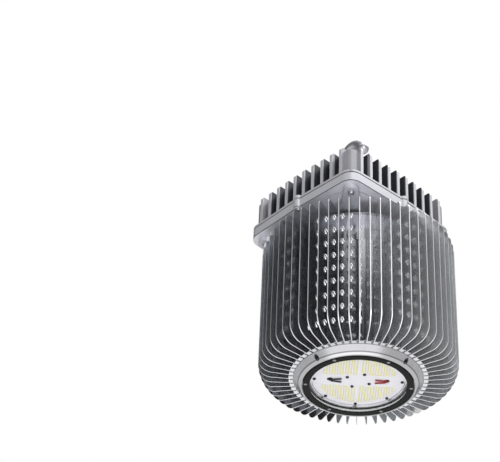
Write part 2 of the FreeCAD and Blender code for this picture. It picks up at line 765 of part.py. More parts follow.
def make_box_base():
    body = new_body("housing_base")
    plan = new_sketch(body, "base_plan", "XY_Plane", box_z)
    outline(plan, box_plan(dim(0)))
    pad(body, "base_block", plan, size("box_base_height"))
    hollow = new_sketch(body, "base_hollow", "XY_Plane", floor_z)
    outline(hollow, box_plan(size("box_base_wall")))
    pocket(body, "base_hollow_cut", hollow)
    bosses = new_sketch(body, "base_bosses", "XY_Plane", box_z)
    circles(bosses, corner_circles(size("bracket_boss_radius") - 2))
    pad(body, "base_boss_pad", bosses, size("box_base_height"))
    lug = new_sketch(body, "base_lug", "XY_Plane", box_z - size("lug_drop"))
    circles(lug, [(side_spot, 0, size("lug_radius"))])
    lug_pad = pad(body, "base_lug_pad", lug,
                  size("box_base_height") + size("lug_drop"))
    polar(body, "base_lugs", [lug_pad], lug, 4)
    hole_ring(body, "base_lug_hole", side_spot, hole_gap + SIDE_SCREW[2], 4,
              box_z - size("lug_drop"))
    holes = new_sketch(body, "base_corner_sketch", "XY_Plane", box_z)
    circles(holes, corner_circles(hole_gap + CORNER_SCREW[2]))
    pocket(body, "base_corner_hole", holes)
    lead = new_sketch(body, "base_lead_sketch", "XY_Plane", box_z)
    circles(lead, lead_holes(box_offset))
    pocket(body, "base_lead_cut", lead)
    move_to_box(body)

    spots = spots_on_circle(side_spot.value, 4, 0,
                            box_z.value - size("lug_drop").value - SIDE_SCREW[1])
    screw_group("side_screws", SIDE_SCREW, box_spots(spots))


def make_box_gasket():
    body = new_body("housing_gasket")
    plan = new_sketch(body, "gasket_plan", "XY_Plane", box_gasket_z)
    outline(plan, box_plan(dim(1)))
    pad(body, "gasket_pad", plan, size("box_gasket"))
    hollow = new_sketch(body, "gasket_hollow", "XY_Plane", box_gasket_z)
    outline(hollow, box_plan(size("box_base_wall") - 0.5))
    pocket(body, "gasket_cut", hollow)
    hole_ring(body, "gasket_lug_hole", side_spot, hole_gap + SIDE_SCREW[2], 4,
              box_gasket_z)
    move_to_box(body)


def make_box_body():
    body = new_body("housing_body")
    plan = new_sketch(body, "body_plan", "XY_Plane", body_z)
    outline(plan, box_plan(size("rib_inset")))
    block = pad(body, "body_block", plan, size("box_body_height"))
    doc.recompute()
    edges = []
    for number, edge in enumerate(block.Shape.Edges, start=1):
        box = edge.BoundBox
        if box.ZMin > roof_z.value - 0.01:
            edges.append(f"Edge{number}")
    top = body.newObject("PartDesign::Fillet", "body_top_round")
    top.Base = (block, edges)
    bind(top, "Radius", size("rib_round"))
    slot = new_sketch(body, "rib_slot", "XY_Plane", body_z + size("box_flange"))
    end = size("box_half") - size("rib_end")
    pitch = (end * 2 - size("rib_width")) / (size("rib_count") - 1)
    half = (pitch - size("rib_width")) / 2
    far = size("box_half") + size("box_bow") * 2
    span = pitch * (size("rib_count") - 2)
    first = -(span / 2)
    outline(slot, [
        (first - half, wall_half), (first + half, wall_half),
        (first + half, far), (first - half, far)])
    cut = pocket(body, "rib_slot_cut", slot)
    row_pattern = body.newObject("PartDesign::LinearPattern", "rib_row")
    row_pattern.Direction = (slot, ["H_Axis"])
    bind(row_pattern, "Length", span)
    bind(row_pattern, "Occurrences", size("rib_count") - 1)
    round_pattern = body.newObject("PartDesign::PolarPattern", "rib_sides")
    round_pattern.Axis = (slot, ["N_Axis"])
    round_pattern.Angle = 360
    round_pattern.Occurrences = 4
    slots = body.newObject("PartDesign::MultiTransform", "rib_slots_all")
    slots.Originals = [cut]
    slots.Transformations = [row_pattern, round_pattern]
    body.Tip = slots
    corner = new_sketch(body, "body_corner", "XY_Plane", body_z + size("box_flange"))
    outline(corner, [(end, wall_half), (wall_half, end), (far, end), (far, far), (end, far)])
    corner_cut = pocket(body, "body_corner_cut", corner)
    polar(body, "body_corners", [corner_cut], corner, 4)
    posts = new_sketch(body, "body_posts", "XY_Plane", body_z)
    circles(posts, corner_circles(size("post_radius")))
    pad(body, "body_post_pad", posts, size("box_body_height") - size("post_drop"))
    flange = new_sketch(body, "body_flange", "XY_Plane", body_z)
    outline(flange, box_plan(dim(0)))
    pad(body, "body_flange_pad", flange, size("box_flange"))
    lug = new_sketch(body, "body_lug", "XY_Plane", body_z)
    circles(lug, [(side_spot, 0, size("lug_radius"))])
    lug_pad = pad(body, "body_lug_pad", lug, size("lug_height"))
    polar(body, "body_lugs", [lug_pad], lug, 4)
    boss = new_sketch(body, "body_boss", "XY_Plane", roof_z)
    circles(boss, [(0, box_offset + hook_y, size("hook_boss_radius"))])
    pad(body, "body_boss_pad", boss, size("hook_boss"))
    hollow = new_sketch(body, "body_hollow", "XY_Plane", body_z)
    outline(hollow, square_plan(box_inside, size("box_inner_corner")))
    pocket(body, "body_hollow_cut", hollow, size("box_body_height") - size("box_roof"))
    roof = new_sketch(body, "body_roof_holes", "XY_Plane", body_z)
    spot = size("gland_offset")
    circles(roof, [(0, box_offset + hook_y, size("hook_shank_radius") + hole_gap),
                   (-spot, spot, size("gland_thread_radius") + hole_gap)])
    pocket(body, "body_roof_cut", roof)
    hole_ring(body, "body_lug_hole", side_spot, hole_gap + SIDE_SCREW[2], 4, body_z,
              box_z - size("lug_drop") + SIDE_SCREW[3] - body_z + 1)
    move_to_box(body)


def bound_box(name, low, sizes):
    box = doc.addObject("Part::Box", name)
    for prop, value in zip(("Length", "Width", "Height"), sizes):
        bind(box, prop, value)
    for prop, value in zip(("x", "y", "z"), low):
        bind(box, f"Placement.Base.{prop}", value)
    return box


def bound_cylinder(name, radius, height, low, axis=AXIS_Z):
    item = doc.addObject("Part::Cylinder", name)
    bind(item, "Radius", radius)
    bind(item, "Height", height)
    item.Placement = FreeCAD.Placement(V(), FreeCAD.Rotation(AXIS_Z, axis))
    for prop, value in zip(("x", "y", "z"), low):
        bind(item, f"Placement.Base.{prop}", value)
    return item


def fuse(label, items):
    joined = doc.addObject("Part::MultiFuse", label)
    joined.Label = label
    joined.Shapes = items
    return joined


def cut_from(label, item, tool):
    result = doc.addObject("Part::Cut", label)
    result.Label = label
    result.Base = item
    result.Tool = tool
    return result


def make_drivers():
    length = size("driver_length")
    width = size("driver_width")
    start = -(length / 2) - box_offset
    for label, side in (("driver_left", -1), ("driver_right", 1)):
        centre = (box_inside - size("driver_gap") - width / 2) * side
        block = bound_box(label + "_case", (centre - width / 2, start, floor_z),
                          (width, length, size("driver_height")))
        feet = bound_box(label + "_feet", (centre - width / 4, start - 8, floor_z),
                         (width / 2, length + 16, 3))
        fuse(label, [block, feet])
    low = (dim(-20), -box_offset - 66, floor_z)
    block = bound_box("terminal_case", low, (dim(40), dim(20), dim(18)))
    wells = [bound_cylinder(f"terminal_well_{i}", 3, 8,
                            (dim(-12 + 12 * i), -box_offset - 56, floor_z + 12))
             for i in range(3)]
    cut_from("terminal_block", block, fuse("terminal_wells", wells))


def hex_nut(name, radius, height, bore, low):
    prism = doc.addObject("Part::Prism", name + "_prism")
    prism.Polygon = 6
    bind(prism, "Circumradius", radius)
    bind(prism, "Height", height)
    hole = bound_cylinder(name + "_bore", bore, height * 2, (low[0], low[1],
                                                             low[2] - height / 2))
    for prop, value in zip(("x", "y", "z"), low):
        bind(prism, f"Placement.Base.{prop}", value)
    return cut_from(name, prism, hole)


def make_gland():
    thread = size("gland_thread_radius")
    bore = size("gland_bore_radius")
    spot = size("gland_offset")
    flange_z = roof_z + 5
    low = roof_z - size("box_roof") - 9
    items = {
        "gland_body": [
            (bore, low), (thread, low), (thread, roof_z), (thread + 5, roof_z),
            (thread + 5, flange_z), (thread, flange_z), (thread, flange_z + 8),
            (bore, flange_z + 8)],
        "gland_cap": [
            (thread + gap, flange_z + gap), (thread + 4, flange_z + gap),
            (thread + 4, flange_z + 9), (thread + 1, flange_z + 14),
            (bore + 0.6, flange_z + 14), (bore + 0.6, flange_z + 8.4),
            (thread + gap, flange_z + 8.4)],
    }
    plug_top = flange_z + 15
    items["gland_plug"] = [
        (0, flange_z), (bore - gap, flange_z), (bore - gap, plug_top - 1),
        (bore - 1, plug_top), (0, plug_top)]
    for label, corners in items.items():
        body = turned(label, corners)
        bind(body, "Placement.Base.x", -spot)
        bind(body, "Placement.Base.y", spot - box_offset)
    hex_nut("gland_locknut", thread + 5, dim(5), thread + hole_gap,
            (-spot, spot - box_offset, roof_z - size("box_roof") - 5))


# Hook: shank, neck, open eye with a ball end, and the lug that takes the gate's pin
def make_hook():
    bar = size("hook_bar_radius")
    bend = size("hook_bend_radius")
    pivot_z = eye_low_z - size("gate_pivot_drop")
    shank_low = roof_z - size("box_roof") - size("nut_height") - 4
    shank = bound_cylinder("hook_shank", size("hook_shank_radius"),
                           neck_z - shank_low + 1, (dim(0), hook_y, shank_low))
    neck = doc.addObject("Part::Cone", "hook_neck_cone")
    bind(neck, "Radius1", size("hook_neck_radius"))
    bind(neck, "Radius2", bar)
    bind(neck, "Height", size("hook_neck"))
    bind(neck, "Placement.Base.z", neck_z)
    eye = doc.addObject("Part::Torus", "hook_eye_arc")
    bind(eye, "Radius1", bend)
    bind(eye, "Radius2", bar)
    bind(eye, "Angle3", size("hook_sweep"))
    stand = FreeCAD.Rotation(AXIS_Z * -1, AXIS_X * -1, AXIS_Y, "ZYX")
    eye.Placement = FreeCAD.Placement(V(), stand)
    bind(eye, "Placement.Base.z", eye_z)
    root = doc.addObject("Part::Sphere", "hook_root_ball")
    bind(root, "Radius", bar + TIP_SWELL)
    bind(root, "Placement.Base.z", eye_low_z)
    tip = doc.addObject("Part::Sphere", "hook_tip_ball")
    bind(tip, "Radius", bar + TIP_SWELL)
    across, up = tip_spot()
    bind(tip, "Placement.Base.x", across)
    bind(tip, "Placement.Base.z", up)
    for item in (neck, eye, root, tip):
        bind(item, "Placement.Base.y", hook_y)
    half = size("gate_half_width") - size("gate_wire_radius") - gap * 3
    lug = bound_cylinder("hook_lug", 4.5, half * 2,
                         (size("gate_pivot_x"), hook_y + half, pivot_z), AXIS_Y * -1)
    web = bound_box("hook_web", (dim(2), hook_y - half, pivot_z - 4.5),
                    (size("gate_pivot_x") - 2, half * 2, dim(7)))
    solid = fuse("hook_solid", [shank, neck, eye, root, tip, lug, web])
    pin_hole = bound_cylinder("hook_pin_hole", 1.55, half * 4,
                              (size("gate_pivot_x"), hook_y + half * 2, pivot_z),
                              AXIS_Y * -1)
    cut_from("hook_body", solid, pin_hole)

    washer = turned_ring("hook_washer", size("hook_shank_radius") + hole_gap,
                         size("washer_radius"), boss_z, nut_z)
    bind(washer, "Placement.Base.y", hook_y)
    upper = hex_nut("nut", size("nut_radius"), size("nut_height"),
                    size("hook_shank_radius") + hole_gap, (dim(0), hook_y, nut_z))
    doc.recompute()
    drop = size("nut_height") + size("box_roof") + size("hook_boss")
    drop = drop + size("washer_thickness")
    lower = FreeCAD.Placement(V(0, 0, -drop.value), FreeCAD.Rotation())
    group("hook_nuts", upper.Shape, [FreeCAD.Placement(), lower])


# Centre of the ball at the end of the hook, as sizes along X and Z
def tip_spot():
    swing = size("hook_sweep") - 180
    bend = size("hook_bend_radius")
    return bend * sin_of(swing), eye_z + bend * cos_of(swing)


# Lean of the gate, in degrees, that brings its bow up to the inside of the tip
def closed_lean(pivot, length, wire):
    across, up = tip_spot()
    tip = V(across.value, hook_y.value, up.value) - pivot
    reach = size("hook_bar_radius").value + TIP_SWELL + wire + size("gate_rest").value
    cosine = (length ** 2 + tip.Length ** 2 - reach ** 2) / (2 * length * tip.Length)
    between = math.acos(max(-1, min(1, cosine)))
    return math.degrees(between - math.atan2(tip.x, tip.z))


# Wire gate: a bow of wire with an eye at each foot, leaning on the inside of the tip
def make_gate():
    wire = size("gate_wire_radius").value
    half = size("gate_half_width").value
    length = size("gate_length").value
    pivot = V(size("gate_pivot_x").value, hook_y.value,
              eye_low_z.value - size("gate_pivot_drop").value)
    shoulder = length - half
    solids = []
    for side in (-1, 1):
        leg = Part.makeCylinder(wire, shoulder - 2, V(0, side * half, 2), AXIS_Z)
        foot = Part.makeCylinder(3.4, wire * 2, V(0, side * half - wire, 0), AXIS_Y)
        solids.extend([leg, foot])
    bow = Part.makeTorus(half, wire, V(), AXIS_X, 0, 360, 180)
    box = bow.BoundBox
    if box.ZMin < -wire - 0.01:
        bow.rotate(V(), AXIS_X, 90 if box.YMax > wire + 0.01 else -90)
    bow.translate(V(0, 0, shoulder))
    shape = solids[0].multiFuse(solids[1:] + [bow])
    shape = shape.cut(Part.makeCylinder(1.65, half * 4, V(0, -half * 2, 0), AXIS_Y))
    lean = FreeCAD.Rotation(AXIS_Y, -closed_lean(pivot, length, wire))
    group("hook_gate", shape, [FreeCAD.Placement(pivot, lean)])

    outer = half + wire + gap.value * 3
    pin = Part.makeCylinder(1.5, outer * 2, V(0, -outer, 0), AXIS_Y)
    heads = [Part.makeCylinder(2.6, 1.2, V(0, y, 0), AXIS_Y) for y in (-outer - 1.2, outer)]
    group("gate_pin", pin.multiFuse(heads),
          [FreeCAD.Placement(pivot, FreeCAD.Rotation())])


make_bezel()
make_glass()
make_board()
make_rows()
make_base_plate()
make_core()
make_conduits()
make_leads("red_leads", size("optic_turn").value)
make_leads("black_leads", size("optic_turn").value + 180)
make_fins()
make_bracket()
make_box_base()
make_box_gasket()
make_box_body()
make_drivers()
make_gland()
make_hook()
make_gate()
doc.recompute()

NODES = [
    "lens_bezel", "bezel_screws", "lens_glass", "lens_gasket", "led_board", "led_rows",
    "board_screws", "black_leads", "red_leads", "base_plate", "base_screws", "core_tube",
    "core_cap", "lead_conduits", "cooling_fins", "mounting_bracket", "bracket_screws",
    "housing_base", "housing_gasket", "housing_body", "corner_screws", "side_screws",
    "driver_left", "driver_right", "terminal_block", "gland_body", "gland_cap",
    "gland_locknut", "gland_plug", "hook_body", "hook_washer", "hook_nuts", "gate_pin",
    "hook_gate",
]

for item in doc.Objects:
    if "Invalid" in item.State or "Error" in item.State:
        raise RuntimeError(f"{item.Label} did not rebuild: {item.State}")

os.makedirs("parts", exist_ok=True)
for label in NODES:
    shape = doc.getObjectsByLabel(label)[0].Shape
    if shape.isNull() or not shape.isValid():
        raise RuntimeError(f"{label} has no valid shape")
    shape.exportStep(f"parts/{label}.step")
    print(label, len(shape.Solids), f"{shape.Volume / 1000:.1f} cm3")
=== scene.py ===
import bpy
import bmesh
import math
from mathutils import Matrix, Vector


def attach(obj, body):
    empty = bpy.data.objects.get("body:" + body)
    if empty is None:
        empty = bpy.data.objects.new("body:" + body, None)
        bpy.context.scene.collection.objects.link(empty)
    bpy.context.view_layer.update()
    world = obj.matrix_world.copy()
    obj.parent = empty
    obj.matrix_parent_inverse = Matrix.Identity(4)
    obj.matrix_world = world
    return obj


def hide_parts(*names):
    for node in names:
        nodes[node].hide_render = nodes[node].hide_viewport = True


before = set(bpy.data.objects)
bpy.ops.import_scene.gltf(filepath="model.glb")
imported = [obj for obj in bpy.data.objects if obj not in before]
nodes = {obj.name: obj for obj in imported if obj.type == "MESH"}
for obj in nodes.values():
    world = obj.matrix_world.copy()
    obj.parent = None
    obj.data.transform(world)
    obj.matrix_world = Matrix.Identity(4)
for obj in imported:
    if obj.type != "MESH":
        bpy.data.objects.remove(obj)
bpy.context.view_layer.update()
scene = bpy.context.scene
mm = 0.001
print("frame loaded:", len(nodes), "nodes")


# sRGB hex to the linear values that Blender works in
def colour(hexText):
    values = [int(hexText[i:i + 2], 16) / 255 for i in (1, 3, 5)]
    linear = [v / 12.92 if v <= 0.04045 else ((v + 0.055) / 1.055) ** 2.4 for v in values]
    return (*linear, 1.0)


# Each input of a node is a socket to link from or a value to set
def setInputs(tree, node, inputs):
    for name, source in inputs.items():
        if isinstance(source, bpy.types.NodeSocket):
            tree.links.new(source, node.inputs[name])
        else:
            node.inputs[name].default_value = source


# Adds a node and gives its outputs. Mix has its numbers at 2 and 3 with the result at 0,
# and its colours at 6 and 7 with the result at 2
def addNode(tree, kind, inputs, **settings):
    node = tree.nodes.new("ShaderNode" + kind)
    for name, value in settings.items():
        setattr(node, name, value)
    setInputs(tree, node, inputs)
    return node.outputs


def newMaterial(name):
    material = bpy.data.materials.new(name)
    material.use_nodes = True
    tree = material.node_tree
    place = addNode(tree, "TexCoord", {})["Object"]
    return material, tree, tree.nodes["Principled BSDF"], place


# How level a face lies, from 0 for upright to 1 for flat
def levelness(tree):
    normal = addNode(tree, "NewGeometry", {})["Normal"]
    up = addNode(tree, "SeparateXYZ", {0: normal})["Z"]
    return addNode(tree, "Math", {0: up}, operation="ABSOLUTE")[0]


# A painted shadow line drawn into a shade, where a measure lies between two limits
def paintShadowLine(tree, shade, measure, low, high, fade, dark):
    enter = addNode(tree, "MapRange", {"Value": measure, "From Min": low - fade, "From Max": low})[0]
    leave = addNode(tree, "MapRange", {"Value": measure, "From Min": high + fade, "From Max": high})[0]
    line = addNode(tree, "Math", {0: enter, 1: leave}, operation="MULTIPLY")[0]
    return addNode(tree, "Mix", {0: line, 6: shade, 7: colour(dark)}, data_type="RGBA")[2]


# Which side of the sheet is seen: the bright side looks counter-clockwise round the lamp, as do
# the folds and the wall by their finish, the matt side clockwise, and the rest is sheared edge
def sheetSides(tree, place):
    foldRadius, foldFade = 0.112, 0.001
    facing, squarely = 0.55, 0.9  # how far a face is turned that way, at first and in full
    lying, upright = 0.5, 0.3  # how level a face lies
    normal = addNode(tree, "NewGeometry", {})["Normal"]
    across = addNode(tree, "VectorMath", {0: (0, 0, 1), 1: place}, operation="CROSS_PRODUCT")[0]
    unit = addNode(tree, "VectorMath", {0: across}, operation="NORMALIZE")[0]
    turn = addNode(tree, "VectorMath", {0: unit, 1: normal}, operation="DOT_PRODUCT")["Value"]
    radius = addNode(tree, "VectorMath", {0: across}, operation="LENGTH")["Value"]
    matt = addNode(tree, "MapRange", {"Value": turn, "From Min": -facing, "From Max": -squarely})[0]
    blade = addNode(tree, "MapRange", {"Value": turn, "From Min": facing, "From Max": squarely})[0]
    inside = addNode(tree, "MapRange", {"Value": radius, "From Min": foldRadius + foldFade,
                                        "From Max": foldRadius})[0]
    steep = addNode(tree, "MapRange", {"Value": levelness(tree), "From Min": lying,
                                       "From Max": upright})[0]
    fold = addNode(tree, "Math", {0: inside, 1: steep}, operation="MULTIPLY")[0]
    fold = addNode(tree, "Math", {0: fold, 1: matt}, operation="SUBTRACT")[0]
    bright = addNode(tree, "Math", {0: blade, 1: fold}, operation="MAXIMUM")[0]
    return bright, matt


# Bright rolled aluminium sheet, stamped: faint streaks along the roll, one side bright and the
# other a little duller as it left the rolls, sheared edges pale and grainy
def rolledAluminium():
    material, tree, shader, place = newMaterial("rolledAluminiumSheet")
    streakMm, streakLengthMm, cloudMm = 1.6, 60, 35
    streakLow, streakHigh = 0.3, 0.7  # what the noise mostly spans
    scale = (1 / (streakMm * mm), 1 / (streakMm * mm), 1 / (streakLengthMm * mm))
    stretch = addNode(tree, "Mapping", {"Vector": place, "Scale": scale})[0]
    streak = addNode(tree, "TexNoise", {"Vector": stretch, "Scale": 1, "Detail": 3})["Fac"]
    cloud = addNode(tree, "TexNoise", {"Vector": place, "Scale": 1 / (cloudMm * mm), "Detail": 2})["Fac"]
    bright, matt = sheetSides(tree, place)

    shades = []  # of the edge, the matt side and the bright side
    for light, dark in (("#f0f0f2", "#e2e2e5"), ("#e9e9ea", "#dadbdd"), ("#d6d8dc", "#c4c7cc")):
        clouded = {0: cloud, 6: colour(light), 7: colour(dark)}
        shades.append(addNode(tree, "Mix", clouded, data_type="RGBA")[2])
    edgeShade, mattShade, brightShade = shades
    shade = addNode(tree, "Mix", {0: matt, 6: edgeShade, 7: mattShade}, data_type="RGBA")[2]
    shade = addNode(tree, "Mix", {0: bright, 6: shade, 7: brightShade}, data_type="RGBA")[2]

    spread = {"Value": streak, "From Min": streakLow, "From Max": streakHigh}
    mattRough = addNode(tree, "MapRange", {**spread, "To Min": 0.14, "To Max": 0.24})[0]
    brightRough = addNode(tree, "MapRange", {**spread, "To Min": 0.1, "To Max": 0.2})[0]
    edgeRough, edgeMetallic, mattMetallic = 0.5, 0.78, 0.8
    rough = addNode(tree, "Mix", {0: matt, 2: edgeRough, 3: mattRough})[0]
    rough = addNode(tree, "Mix", {0: bright, 2: rough, 3: brightRough})[0]
    metallic = addNode(tree, "Mix", {0: matt, 2: edgeMetallic, 3: mattMetallic})[0]
    metallic = addNode(tree, "Mix", {0: bright, 2: metallic, 3: 1.0})[0]
    bump = addNode(tree, "Bump", {"Strength": 0.08, "Distance": 0.05 * mm, "Height": streak})[0]
    setInputs(tree, shader, {"Base Color": shade, "Roughness": rough, "Metallic": metallic,
                             "Normal": bump})
    return material


# Turned aluminium: rings left by the tool round the lamp's axis, with a painted highlight that makes the
# inner lip and the recess paler toward the middle, and a painted shadow line along the groove inside the
# rim
def turnedAluminium():
    material, tree, shader, place = newMaterial("turnedAluminium")
    ringMm, cloudMm = 1.1, 22  # real feed marks are finer, drawn coarse enough to show
    lipRadius, recessRadius, fade = 0.0885, 0.0805, 0.001
    grooveShadowFrom, grooveShadowTo, grooveShadowFade = 0.0893, 0.0902, 0.0005
    flat = addNode(tree, "VectorMath", {0: place, 1: (1, 1, 0)}, operation="MULTIPLY")[0]
    radius = addNode(tree, "VectorMath", {0: flat}, operation="LENGTH")["Value"]
    turns = addNode(tree, "Math", {0: radius, 1: 2 * math.pi / (ringMm * mm)}, operation="MULTIPLY")[0]
    wave = addNode(tree, "Math", {0: turns}, operation="SINE")[0]
    cloud = addNode(tree, "TexNoise", {"Vector": place, "Scale": 1 / (cloudMm * mm), "Detail": 4})["Fac"]

    outer = {0: cloud, 6: colour("#b0b0b2"), 7: colour("#9a9a9c")}
    shade = addNode(tree, "Mix", outer, data_type="RGBA")[2]
    # the lip and recess bands are painted paler: a painted highlight of the inner lip
    for edge, light, dark in ((lipRadius, "#c2c2c4", "#b2b2b4"), (recessRadius, "#eeeeef", "#e4e4e5")):
        within = {"Value": radius, "From Min": edge + fade, "From Max": edge}
        inside = addNode(tree, "MapRange", within)[0]
        zone = addNode(tree, "Mix", {0: cloud, 6: colour(light), 7: colour(dark)}, data_type="RGBA")[2]
        shade = addNode(tree, "Mix", {0: inside, 6: shade, 7: zone}, data_type="RGBA")[2]
    # painted shadow: a dark line along the groove
    shade = paintShadowLine(tree, shade, radius, grooveShadowFrom, grooveShadowTo, grooveShadowFade, "#7a7a7d")

    rough = addNode(tree, "MapRange", {"Value": wave, "From Min": -1, "From Max": 1,
                                       "To Min": 0.2, "To Max": 0.32})[0]
    bump = addNode(tree, "Bump", {"Strength": 0.2, "Distance": 0.03 * mm, "Height": wave})[0]
    setInputs(tree, shader, {"Base Color": shade, "Roughness": rough, "Metallic": 1.0, "Normal": bump})
    return material


# Silver-grey powder coat on a die casting: fine orange peel, metal flake that mirrors softly
def powderCoat(name, light, dark, roughness):
    material, tree, shader, place = newMaterial(name)
    peelMm, grainMm = 1.8, 0.9
    peel = addNode(tree, "TexNoise", {"Vector": place, "Scale": 1 / (peelMm * mm), "Detail": 2})["Fac"]
    grain = addNode(tree, "TexNoise", {"Vector": place, "Scale": 1 / (grainMm * mm), "Detail": 1})["Fac"]
    shade = addNode(tree, "Mix", {0: grain, 6: colour(light), 7: colour(dark)}, data_type="RGBA")[2]
    bump = addNode(tree, "Bump", {"Strength": 0.25, "Distance": 0.06 * mm, "Height": peel})[0]
    setInputs(tree, shader, {"Base Color": shade, "Roughness": roughness, "Metallic": 0.5,
                             "Normal": bump})
    return material, tree, shader, place, shade


# The same coat on the lower half, with a painted shadow: a thin dark line along the bottom edge of its
# rim
def shadowLinedCoat():
    material, tree, shader, place, shade = powderCoat("silverPowderCoat", "#d6d6dc", "#c8c8cf", 0.32)
    rimShadowFrom, rimShadowTo, fade = 0.2612, 0.2626, 0.0002
    height = addNode(tree, "SeparateXYZ", {0: place})["Z"]
    # painted shadow line under the edge of the rim
    shade = paintShadowLine(tree, shade, height, rimShadowFrom, rimShadowTo, fade, "#34343a")
    setInputs(tree, shader, {"Base Color": shade})
    return material


# Ribbed casting with painted shade: the coat is painted dark down in the slots, partly on the corner
# posts and a little on the boss on the roof, while the rib tips and the roof keep the coat's own colour
def slotShadedCasting():
    material, tree, shader, place, shade = powderCoat("slotShadedRibCasting", "#d2d2d7", "#c4c4ca", 0.34)
    half, bow, boxOffset = 0.113, 0.004, 0.018
    centred = addNode(tree, "VectorMath", {0: place, 1: (0, boxOffset, 0)}, operation="ADD")[0]
    split = addNode(tree, "SeparateXYZ", {0: centred})
    sides = [addNode(tree, "Math", {0: split[axis]}, operation="ABSOLUTE")[0] for axis in ("X", "Y")]
    reaches = []
    for out, along in (sides, sides[::-1]):
        lean = addNode(tree, "Math", {0: along, 1: bow / half, 2: -bow}, operation="MULTIPLY_ADD")[0]
        reaches.append(addNode(tree, "Math", {0: out, 1: lean}, operation="ADD")[0])
    reach = addNode(tree, "Math", {0: reaches[0], 1: reaches[1]}, operation="MAXIMUM")[0]
    corner = addNode(tree, "Math", {0: sides[0], 1: sides[1]}, operation="ADD")[0]

    # bright is the share of the coat colour kept; where it is low, painted shade goes in
    bright = 0.0
    for measure, dull, pale, most in ((reach, 0.1078, 0.1096, 1.0),  # rib tips
                                      (corner, 0.176, 0.1775, 0.6),  # corner posts
                                      (split["Z"], 0.3352, 0.3358, 0.85),  # boss
                                      (levelness(tree), 0.5, 0.8, 1.0)):  # roof
        part = addNode(tree, "MapRange", {"Value": measure, "From Min": dull, "From Max": pale,
                                          "To Max": most})[0]
        bright = addNode(tree, "Math", {0: bright, 1: part}, operation="MAXIMUM")[0]
    # painted shade in the slots
    shade = addNode(tree, "Mix", {0: bright, 6: colour("#3c3d44"), 7: shade}, data_type="RGBA")[2]
    setInputs(tree, shader, {"Base Color": shade})
    return material


# Black anodised aluminium: deep black, satin, faintly mottled
def blackAnodised():
    material, tree, shader, place = newMaterial("blackAnodisedAluminium")
    cloudMm = 6
    cloud = addNode(tree, "TexNoise", {"Vector": place, "Scale": 1 / (cloudMm * mm), "Detail": 4})["Fac"]
    mottle = {0: cloud, 6: colour("#0d0d0e"), 7: colour("#161617")}
    shade = addNode(tree, "Mix", mottle, data_type="RGBA")[2]
    rough = addNode(tree, "MapRange", {"Value": cloud, "To Min": 0.36, "To Max": 0.46})[0]
    setInputs(tree, shader, {"Base Color": shade, "Roughness": rough, "Specular IOR Level": 0.1})
    return material


# Toughened glass: clear, seen by its reflection and by its rim, which is ground and pale
def toughenedGlass():
    material, tree, shader, place = newMaterial("toughenedGlass")
    smearMm, flatFace, rimFace = 30, 0.95, 0.8
    rim = addNode(tree, "MapRange", {"Value": levelness(tree), "From Min": flatFace,
                                     "From Max": rimFace})[0]
    alpha = addNode(tree, "MapRange", {"Value": rim, "To Min": 0.03, "To Max": 0.85})[0]
    tint = {0: rim, 6: colour("#1c2225"), 7: colour("#eef2f4")}
    shade = addNode(tree, "Mix", tint, data_type="RGBA")[2]
    smear = addNode(tree, "TexNoise", {"Vector": place, "Scale": 1 / (smearMm * mm)})["Fac"]
    rough = addNode(tree, "MapRange", {"Value": smear, "To Min": 0.02, "To Max": 0.06})[0]
    setInputs(tree, shader, {"Base Color": shade, "Alpha": alpha, "Roughness": rough, "IOR": 1.5})
    return material


# A finish with a fine grain that varies its colour, gloss and relief: moulded plastic, rubber,
# solder mask, felt or plated steel
def grainedFinish(name, light, dark, grainMm, roughness, metallic=0.0):
    material, tree, shader, place = newMaterial(name)
    spread = 0.15
    grain = addNode(tree, "TexNoise", {"Vector": place, "Scale": 1 / (grainMm * mm), "Detail": 3})["Fac"]
    shade = addNode(tree, "Mix", {0: grain, 6: colour(light), 7: colour(dark)}, data_type="RGBA")[2]
    rough = addNode(tree, "MapRange", {"Value": grain, "To Min": roughness * (1 - spread),
                                       "To Max": roughness * (1 + spread)})[0]
    bump = addNode(tree, "Bump", {"Strength": 0.15, "Distance": 0.04 * mm, "Height": grain})[0]
    setInputs(tree, shader, {"Base Color": shade, "Roughness": rough, "Metallic": metallic,
                             "Normal": bump})
    return material


finSheet = rolledAluminium()
turned = turnedAluminium()
bracketCoat = powderCoat("greyPowderCoat", "#bcbcc3", "#aeaeb6", 0.36)[0]
rimCoat = shadowLinedCoat()
ribs = slotShadedCasting()
anodised = blackAnodised()
glass = toughenedGlass()
# Freshly torn sheet is bright; the slits and the tabs' mouths get painted shade, dark because no light
# comes out of them
tabSheet = grainedFinish("lancedAluminium", "#dededf", "#cfcfd1", 1.5, 0.2, 1.0)
slitShade = grainedFinish("paintedSlitShade", "#141517", "#1c1d20", 2, 0.6)
# The board's lacquer is satin white, the phosphor matt and powdery in a moulded white package
boardMask = grainedFinish("whiteSolderMask", "#f6f5fa", "#eeedf4", 4, 0.35)
phosphor = grainedFinish("yellowPhosphor", "#f2eba2", "#e9e08a", 0.8, 0.5)
chipBody = grainedFinish("ledPackageWhite", "#f6f6f2", "#ecece6", 1, 0.4)
# Extruded PVC has a soft gloss, silicone is dull
blackWire = grainedFinish("blackPvcLead", "#141416", "#202022", 2, 0.45)
redWire = grainedFinish("redPvcLead", "#a8231f", "#8e1a18", 2, 0.4)
seal = grainedFinish("siliconeSeal", "#26272a", "#1d1e20", 1.5, 0.6)
# Zinc is bright and slightly mottled, black oxide dark and satin, a forged skin softer than both
screwSteel = grainedFinish("zincPlatedSteel", "#b8b9bc", "#9fa0a4", 1.2, 0.3, 1.0)
darkScrew = grainedFinish("blackenedSteel", "#4a4a4e", "#38383c", 1.2, 0.38, 1.0)
hookSteel = grainedFinish("platedForgedSteel", "#b4b4b8", "#a6a6ab", 2.5, 0.42, 0.75)
gateSteel = grainedFinish("blackSpringWire", "#2b2b2e", "#1f1f22", 1, 0.35, 1.0)
